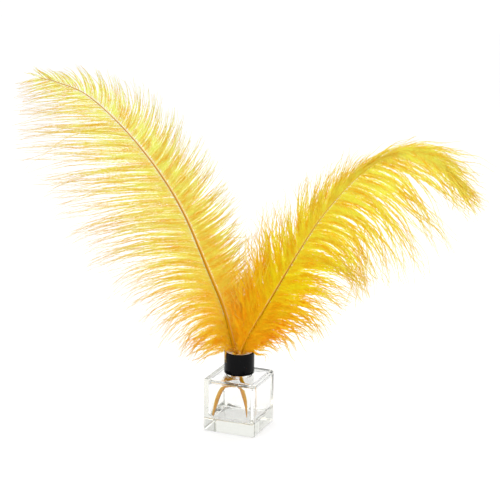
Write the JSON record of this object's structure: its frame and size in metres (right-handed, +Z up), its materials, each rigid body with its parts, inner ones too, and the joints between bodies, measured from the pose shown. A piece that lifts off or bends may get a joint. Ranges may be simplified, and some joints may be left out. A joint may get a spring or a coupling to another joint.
{
  "type": "ostrich feather",
  "caption": "Dyed ostrich plumes with curved shafts and long drooping barbs, standing loose in a small square clear glass bottle with a thick foot and a black round collar.",
  "frame": {"origin": "middle of the bottle's flat underside", "axes": "+Z up; the bottle's sides face +X, -X, +Y and -Y, and -Y is its front; the plumes spread in a plane turned 21.5 degrees about Z from the bottle's front"},
  "size_m": [0.3726, 0.1096, 0.3093],
  "materials": {
    "glass": "clear polished",
    "collar": "glossy black anodised",
    "liner": "satin",
    "quill": "satin horn",
    "left_barbs": "soft, silky",
    "right_barbs": "soft, silky"
  },
  "bodies": {
    "root": {"bottle": "glass", "collar": "collar", "collar_liner": "liner", "left_feather_quill": "quill", "left_feather_outer_vane": "left_barbs", "left_feather_inner_vane": "left_barbs", "right_feather_quill": "quill", "right_feather_outer_vane": "right_barbs", "right_feather_inner_vane": "right_barbs"}
  },
  "joints": []
}
